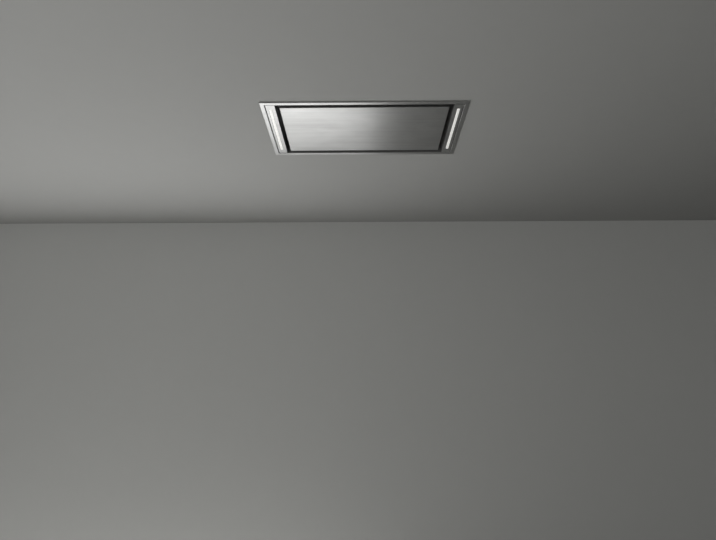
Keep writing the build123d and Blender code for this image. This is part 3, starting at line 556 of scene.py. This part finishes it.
def expandedLayer(low, high, layer):
    # Strand r runs along s at t(s) = (r + 1)*h + (-1)^r * (h/2) * w(s), with h half the diamond's short
    # way and w a wave that steps between 1 and -1 with a flat knuckle at each end, so neighbouring
    # strands meet at every knuckle. A tilted rectangle is carried along each strand.
    axis = [1, 0] if layer["turned"] else [0, 1]
    start, end = low[axis[0]], high[axis[0]]
    long, h = layer["long"] / 1000, layer["short"] / 2000
    flat = long * meshPad["knuckle"]
    periods = math.ceil((end - start) / long) + 1
    wave = np.array([0, flat, long / 2, long / 2 + flat])
    s = start + (np.arange(periods)[:, None] * long + wave).ravel()
    w = np.tile([1.0, 1.0, -1.0, -1.0], periods)
    keep = s < end
    s, w = np.append(s[keep], end), np.append(w[keep], w[keep][-1])
    rows = int((high[axis[1]] - low[axis[1]]) / h) - 1
    r = np.arange(rows)[:, None]
    t = low[axis[1]] + (r + 1) * h + np.where(r % 2, -1, 1) * (h / 2) * w
    tilt = math.radians(meshPad["tilt"])
    halfWide, halfThick = layer["strand"] / 2000, layer["sheet"] / 2000
    u = np.array([-halfWide, halfWide, halfWide, -halfWide])
    v = np.array([-halfThick, -halfThick, halfThick, halfThick])
    dt = u * math.cos(tilt) - v * math.sin(tilt)
    dz = u * math.sin(tilt) + v * math.cos(tilt)
    points = np.empty((rows, len(s), 4, 3))
    points[..., axis[0]] = s[None, :, None]
    points[..., axis[1]] = t[:, :, None] + dt
    points[..., 2] = low[2] + (high[2] - low[2]) * layer["height"] + dz
    index = np.arange(rows * len(s) * 4).reshape(rows, len(s), 4)
    near, far = index[:, :-1], index[:, 1:]
    sides = np.stack([near, np.roll(near, -1, 2), np.roll(far, -1, 2), far], -1).reshape(-1, 4)
    caps = np.concatenate([index[:, 0, ::-1], index[:, -1]]).reshape(-1, 4)
    if layer["turned"]:
        sides, caps = sides[:, ::-1], caps[:, ::-1]
    return points.reshape(-1, 3), np.concatenate([sides, caps])


def filterMesh(side):
    name = "filter_mesh_" + side
    low, high = [np.array(corner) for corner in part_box(name)]
    inset = meshPad["edge"] / 1000
    low, high = low + [inset, inset, 0], high - [inset, inset, 0]
    points, quads, count = [], [], 0
    for layer in meshPad["layers"]:
        layerPoints, layerQuads = expandedLayer(low, high, layer)
        points.append(layerPoints)
        quads.append(layerQuads + count)
        count += len(layerPoints)
    made = quadMesh("expanded_mesh_" + side, np.concatenate(points), np.concatenate(quads))
    made.data.materials.append(finishes["filter_aluminium"])
    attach(made, "housing")
    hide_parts(name)
    return 2 * sum(len(q) for q in quads)


for side in ("left", "right"):
    print("expanded mesh", side, filterMesh(side), "triangles")


# Junction box lid: a moulded cover with a raised middle, so that the lid's screws sit below its top

cover = {"rim": 0.9, "rise": (11, 14), "bevel": 0.5, "screwInset": 7, "columns": 56, "rows": 38}


def lidCorners():
    # the lid's lowest and highest corner in millimetres
    return [np.array(corner) * 1000 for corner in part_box("junction_lid")]


def junctionCover():
    # Over each point the height is rim + (top - rim) * s(d), where d is the distance from the nearest
    # edge and s runs smoothly from 0 to 1 across the rise. The outermost row stands lower, as a bevel.
    low, high = lidCorners()
    across = np.linspace(low[0], high[0], cover["columns"])
    along = np.linspace(low[1], high[1], cover["rows"])
    x, y = np.meshgrid(across, along, indexing="ij")
    d = np.minimum(np.minimum(x - low[0], high[0] - x), np.minimum(y - low[1], high[1] - y))
    start, end = cover["rise"]
    s = np.clip((d - start) / (end - start), 0, 1)
    s = s * s * (3 - 2 * s)
    height = cover["rim"] + (high[2] - low[2] - cover["rim"]) * s - cover["bevel"] * (d == 0)
    top, under = [np.stack([x, y, low[2] + h], -1) for h in (height, 0 * height)]
    points, quads = closedPlate(top, under)
    made = quadMesh("junction_cover", points / 1000, quads)
    made.data.materials.append(finishes["grey_plastic"])
    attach(made, "housing")
    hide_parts("junction_lid")


# Fasteners that the CAD leaves out: the shell's blind rivets, and the screws of its brackets, of the
# collar and of the junction box's lid

fasteners = {
    "grid": 11, "sink": 0.3, "recess": 0.62,
    "rivet": {"radius": 3.3, "height": 1.3, "hollow": 1.1, "depth": 0.6},
    "lidScrew": {"radius": 2.7, "height": 1.05, "slot": 0.4, "depth": 0.7},
    "screw": {"radius": 3.1, "height": 1.9, "slot": 0.5, "depth": 1.1},
    "panHead": {"radius": 5.2, "height": 2.9, "slot": 0.8, "depth": 1.8},
    # the shell's rivets stand on its ends' flanges, at these heights and distances from its middle
    "fromEnd": 5, "levels": (48, 118, 188, 258), "across": (-170, -85, 0, 85, 170),
    # the brackets' screws stand two to a foot, the collar's around its flange
    "footX": 328, "footY": 190, "footTop": 312.5, "apart": 9,
    "ring": 78, "ringTop": 232.8, "ringZ": 226, "ringAngles": (30, 90, 150, 210, 270, 330),
}


def headSurface(shape):
    # A square grid u, v in -1..1 is drawn onto a disc by x = u*sqrt(1 - v*v/2), y = v*sqrt(1 - u*u/2),
    # and stands h*(1 - r^4) high. A rivet has a round hollow in its middle, a screw a cross recess.
    steps = np.linspace(-1, 1, fasteners["grid"])
    u, v = np.meshgrid(steps, steps, indexing="ij")
    x, y = u * np.sqrt(1 - v * v / 2), v * np.sqrt(1 - u * u / 2)
    r = np.hypot(x, y)
    if "slot" in shape:
        reach = shape["slot"] / shape["radius"]
        low = ((np.abs(x) < reach) | (np.abs(y) < reach)) & (r < fasteners["recess"])
    else:
        low = r < shape["hollow"] / shape["radius"]
    height = shape["height"] * (1 - r ** 4) - low * shape["depth"]
    top = np.stack([x * shape["radius"], y * shape["radius"], height], -1)
    return closedPlate(top, top * [1, 1, 0] - [0, 0, fasteners["sink"]])


def fastenerPiece(name, shape, seats):
    # one head on each seat: its point in millimetres, the axis that it faces along and the direction
    points, quads = headSurface(fasteners[shape])
    placed = []
    for place, axis, way in seats:
        turn = np.roll(np.eye(3), axis + 1, axis=1) * [[1], [way], [way]]
        placed.append(points @ turn + place)
    steps = np.arange(len(seats))[:, None, None] * len(points)
    made = quadMesh(name, np.concatenate(placed) / 1000, (quads + steps).reshape(-1, 4))
    made.data.materials.append(finishes["zinc_steel"])
    made.data.polygons.foreach_set("use_smooth", np.ones(len(made.data.polygons), dtype=bool))
    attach(made, "housing")
    return len(seats)


def shellRivets():
    low, high = [np.array(corner) * 1000 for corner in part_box("housing_shell")]
    seats = []
    for x in (low[0] + fasteners["fromEnd"], high[0] - fasteners["fromEnd"]):
        seats += [((x, low[1], z), 1, -1) for z in fasteners["levels"]]
        seats += [((x, high[1], z), 1, 1) for z in fasteners["levels"]]
        seats += [((x, y, high[2]), 2, 1) for y in fasteners["across"]]
    return fastenerPiece("shell_rivets", "rivet", seats)


def bracketScrews():
    footX, footY, apart = fasteners["footX"], fasteners["footY"], fasteners["apart"]
    seats = [
        ((sideX * footX, sideY * footY + shift, fasteners["footTop"]), 2, 1)
        for sideX in (-1, 1) for sideY in (-1, 1) for shift in (-apart, apart)
    ]
    return fastenerPiece("bracket_screws", "panHead", seats)


def collarScrews():
    seats = []
    for angle in map(math.radians, fasteners["ringAngles"]):
        x, z = fasteners["ring"] * math.cos(angle), fasteners["ring"] * math.sin(angle)
        seats.append(((x, fasteners["ringTop"], fasteners["ringZ"] + z), 1, 1))
    return fastenerPiece("collar_screws", "screw", seats)


def lidScrews():
    low, high = lidCorners()
    middle, reach = (low + high) / 2, (high - low) / 2 - cover["screwInset"]
    seats = [
        ((middle[0] + sideX * reach[0], middle[1] + sideY * reach[1], low[2] + cover["rim"]), 2, 1)
        for sideX in (-1, 1) for sideY in (-1, 1)
    ]
    return fastenerPiece("lid_screws", "lidScrew", seats)


print("fasteners:", shellRivets(), "rivets,", bracketScrews() + collarScrews() + lidScrews(), "screws")
junctionCover()
print("junction box cover ready")
